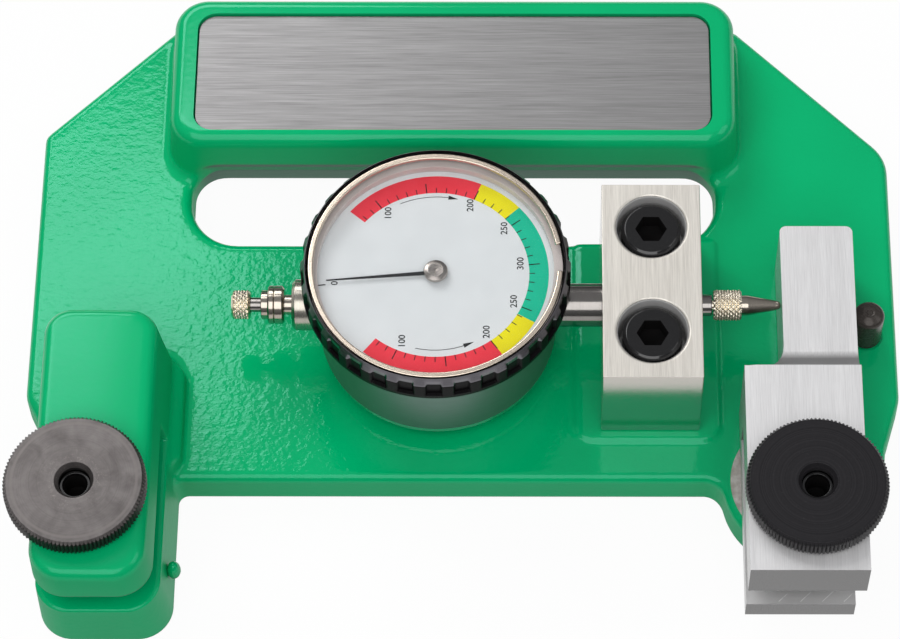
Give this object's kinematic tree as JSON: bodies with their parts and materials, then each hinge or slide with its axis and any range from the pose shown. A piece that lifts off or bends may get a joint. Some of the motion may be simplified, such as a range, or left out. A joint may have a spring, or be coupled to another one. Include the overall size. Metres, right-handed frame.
{
  "type": "dial tension gauge",
  "caption": "Cast frame with a fixed and a pivoted blade clamp; the pivoted one swings a lever against a dial gauge that shows a band saw blade's tension.",
  "frame": {"origin": "on the flat back of the casting, under the axis of the stem and midway along the handle", "axes": "+X along the handle towards the lever, +Y from the clamps towards the handle, +Z out of the back, towards the dial"},
  "size_m": [0.1925, 0.1511, 0.043],
  "materials": {
    "paint": "gloss paint with a fine orange peel over cast aluminium",
    "aluminium": "milled and brushed",
    "stainless_brushed": "brushed lengthwise",
    "steel": "ground",
    "nickel": "nickel plated brass",
    "bronze": "plain",
    "black_oxide": "black oxide",
    "worn_oxide": "black oxide worn to grey",
    "black_paint": "matt black",
    "plastic": "satin",
    "face": "matt print",
    "crystal": "clear acrylic"
  },
  "bodies": {
    "frame": {"frame_casting": "paint", "name_plate": "stainless_brushed", "stem_clamp_block": "aluminium", "clamp_screw_rear": "black_oxide", "clamp_screw_front": "black_oxide", "stop_pin": "black_oxide", "pivot_bush": "bronze", "thrust_washer": "bronze", "gauge_case": "steel", "case_back": "steel", "back_screw_1": "steel", "back_screw_2": "steel", "back_screw_3": "steel", "back_screw_4": "steel", "stem": "steel", "guide_bush": "nickel", "movement_plate_lower": "bronze", "movement_plate_upper": "bronze", "movement_pillar_1": "bronze", "movement_pillar_2": "bronze", "movement_pillar_3": "bronze", "return_spring": "steel"},
    "lever": {"lever_arm": "aluminium", "pivot_pin": "steel", "pivot_washer": "steel", "pivot_screw": "black_oxide"},
    "plunger": {"spindle": "steel", "contact_tip": "nickel", "lift_cap": "nickel"},
    "rack_wheel": {"rack_pinion": "steel", "rack_gear": "bronze"},
    "take_up_wheel": {"take_up_arbor": "steel", "take_up_gear": "bronze", "hairspring": "steel"},
    "needle": {"centre_pinion": "steel", "pointer": "black_paint", "pointer_hub": "steel"},
    "dial": {"bezel": "plastic", "dial_face": "face", "crystal": "crystal", "crystal_ring": "nickel"},
    "left_pad": {"left_pressure_pad": "steel"},
    "left_screw": {"left_thumb_knob": "worn_oxide", "left_clamp_stud": "black_oxide"},
    "right_pad": {"right_pressure_pad": "steel"},
    "right_screw": {"right_thumb_knob": "black_oxide", "right_clamp_stud": "black_oxide"}
  },
  "joints": [
    {"name": "lever_swing", "type": "hinge", "parent": "frame", "child": "lever", "pos_m": [0.0766, -0.0355, 0.0124], "axis": [0, 0, 1], "range_deg": [0, 3.5]},
    {"name": "plunger_slide", "type": "slide", "parent": "frame", "child": "plunger", "axis": [-1, 0, 0], "range_m": [0, 0.00217], "stiffness_N_per_m": 138, "springref_m": -0.0072, "deforming": ["return_spring"]},
    {"name": "rack_wheel_spin", "type": "hinge", "parent": "frame", "child": "rack_wheel", "pos_m": [-0.01311, -0.00384, 0.0307], "axis": [0, 0, 1], "range_deg": [0, 78.08]},
    {"name": "take_up_spin", "type": "hinge", "parent": "frame", "child": "take_up_wheel", "pos_m": [0.00376, 0.00245, 0.0307], "axis": [0, 0, 1], "range_deg": [0, 130.12]},
    {"name": "needle_spin", "type": "hinge", "parent": "frame", "child": "needle", "pos_m": [-0.0028, 0, 0.0387], "axis": [0, 0, 1], "range_deg": [-780.72, 0]},
    {"name": "dial_turn", "type": "hinge", "parent": "frame", "child": "dial", "pos_m": [-0.0028, 0, 0.039], "axis": [0, 0, 1], "continuous": true},
    {"name": "left_screw_turn", "type": "hinge", "parent": "left_pad", "child": "left_screw", "pos_m": [-0.0776, -0.0491, 0.026], "axis": [0, 0, 1], "range_deg": [0, 1843.2]},
    {"name": "left_pad_lift", "type": "slide", "parent": "frame", "child": "left_pad", "axis": [0, 0, 1], "range_m": [0, 0.0064]},
    {"name": "right_screw_turn", "type": "hinge", "parent": "right_pad", "child": "right_screw", "pos_m": [0.0776, -0.0491, 0.026], "axis": [0, 0, 1], "range_deg": [0, 1843.2]},
    {"name": "right_pad_lift", "type": "slide", "parent": "lever", "child": "right_pad", "axis": [0, 0, 1], "range_m": [0, 0.0064]}
  ],
  "couplings": [
    {"joint": "plunger_slide", "follows": "lever_swing", "m_per_rad": 0.0355},
    {"joint": "rack_wheel_spin", "follows": "lever_swing", "ratio": 22.306},
    {"joint": "needle_spin", "follows": "lever_swing", "ratio": -223.06},
    {"joint": "take_up_spin", "follows": "lever_swing", "ratio": 37.177},
    {"joint": "left_pad_lift", "follows": "left_screw_turn", "m_per_rad": 0.00019894},
    {"joint": "right_pad_lift", "follows": "right_screw_turn", "m_per_rad": 0.00019894}
  ]
}
